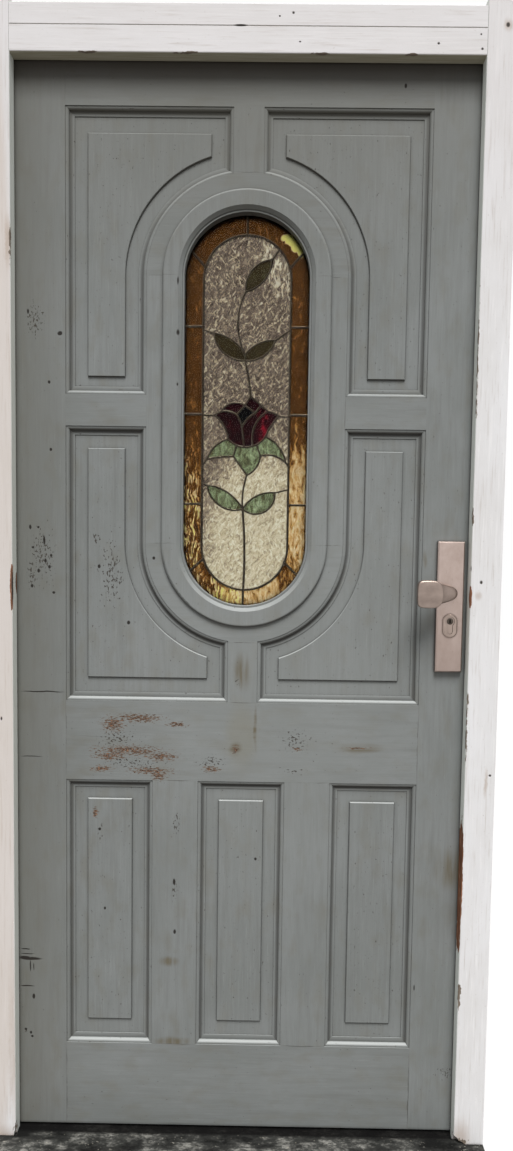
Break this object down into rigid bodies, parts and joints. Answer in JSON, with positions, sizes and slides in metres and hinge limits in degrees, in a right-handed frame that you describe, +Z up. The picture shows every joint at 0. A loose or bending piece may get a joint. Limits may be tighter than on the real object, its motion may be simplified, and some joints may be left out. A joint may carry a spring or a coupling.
{
  "type": "panelled front door with frame",
  "caption": "Painted timber panelled front door with an oval leaded light, hung in its rebated frame on a threshold, with a security handle plate and lock.",
  "frame": {"origin": "underside of the threshold, below the middle of the closed leaf's street face", "axes": "+X along the doorway from the hinges to the lock, +Y indoors, +Z up"},
  "size_m": [1.004, 0.1895, 2.2615],
  "materials": {
    "white_paint": "weathered white gloss paint on timber",
    "stone": "dark rough stone",
    "rubber": "matt",
    "grey_paint": "brushed grey paint on timber, worn",
    "clear_glass": "clear",
    "amber_glass": "streaky",
    "green_glass": "streaky",
    "red_glass": "streaky",
    "dark_glass": "nearly black",
    "lead": "dull dark lead",
    "satin_aluminium": "anodised satin",
    "steel": "satin",
    "brass": "satin"
  },
  "bodies": {
    "frame": {"threshold": "stone", "jamb_hinge": "white_paint", "jamb_lock": "white_paint", "head_rail": "white_paint", "head_board": "white_paint", "weather_seal": "rubber", "strike_plate": "steel", "hinge_plates_frame": "steel", "frame_screws": "steel", "hinge_pins": "steel"},
    "leaf": {"stile_hinge": "grey_paint", "stile_lock": "grey_paint", "top_rail": "grey_paint", "lock_rail": "grey_paint", "bottom_rail": "grey_paint", "cross_rail_hinge": "grey_paint", "cross_rail_lock": "grey_paint", "muntin_top": "grey_paint", "muntin_middle": "grey_paint", "muntin_low_hinge": "grey_paint", "muntin_low_lock": "grey_paint", "ring_stave_hinge": "grey_paint", "ring_stave_lock": "grey_paint", "ring_arch_top": "grey_paint", "ring_arch_bottom": "grey_paint", "panel_upper_hinge": "grey_paint", "panel_upper_lock": "grey_paint", "panel_middle_hinge": "grey_paint", "panel_middle_lock": "grey_paint", "panel_low_hinge": "grey_paint", "panel_low_centre": "grey_paint", "panel_low_lock": "grey_paint", "glazing_band_outside": "grey_paint", "glazing_bead_inside": "grey_paint", "clear_pane": "clear_glass", "lead_cames": "lead", "glass_amber": "amber_glass", "glass_clear": "clear_glass", "glass_green": "green_glass", "glass_red": "red_glass", "glass_dark": "dark_glass", "hinge_plates_leaf": "steel", "hinge_screws_leaf": "steel", "lock_case": "steel", "lock_faceplate": "steel", "lock_screws": "steel", "cylinder_body": "brass", "plate_outside": "satin_aluminium", "cylinder_guard": "steel", "knob_outside": "satin_aluminium", "plate_inside": "satin_aluminium", "plate_bolts": "steel"},
    "lever": {"lever_inside": "satin_aluminium", "spindle": "steel", "follower": "steel"},
    "latch": {"latch_bolt": "steel"},
    "deadbolt": {"deadbolt": "steel"},
    "plug_outside": {"cylinder_plug_outside": "brass", "cylinder_cam": "brass"},
    "plug_inside": {"cylinder_plug_inside": "brass"}
  },
  "joints": [
    {"name": "door_hinge", "type": "hinge", "parent": "frame", "child": "leaf", "pos_m": [-0.4665, 0.0465, 1.114], "axis": [0, 0, 1], "range_deg": [0, 110]},
    {"name": "lever_turn", "type": "hinge", "parent": "leaf", "child": "lever", "pos_m": [0.405, 0.093, 1.1625], "axis": [0, -1, 0], "range_deg": [0, 45], "stiffness_Nm_per_rad": 1.2, "springref_deg": -28.65},
    {"name": "latch_slide", "type": "slide", "parent": "leaf", "child": "latch", "axis": [1, 0, 0], "range_m": [0, 0.012]},
    {"name": "plug_outside_turn", "type": "hinge", "parent": "leaf", "child": "plug_outside", "pos_m": [0.405, 0, 1.1075], "axis": [0, 1, 0], "range_deg": [0, 360]},
    {"name": "deadbolt_slide", "type": "slide", "parent": "leaf", "child": "deadbolt", "axis": [1, 0, 0], "range_m": [0, 0.02]},
    {"name": "plug_inside_turn", "type": "hinge", "parent": "leaf", "child": "plug_inside", "pos_m": [0.405, 0.04, 1.1075], "axis": [0, 1, 0], "range_deg": [0, 360]}
  ],
  "couplings": [
    {"joint": "plug_outside_turn", "follows": "deadbolt_slide", "rad_per_m": 314.16}
  ]
}
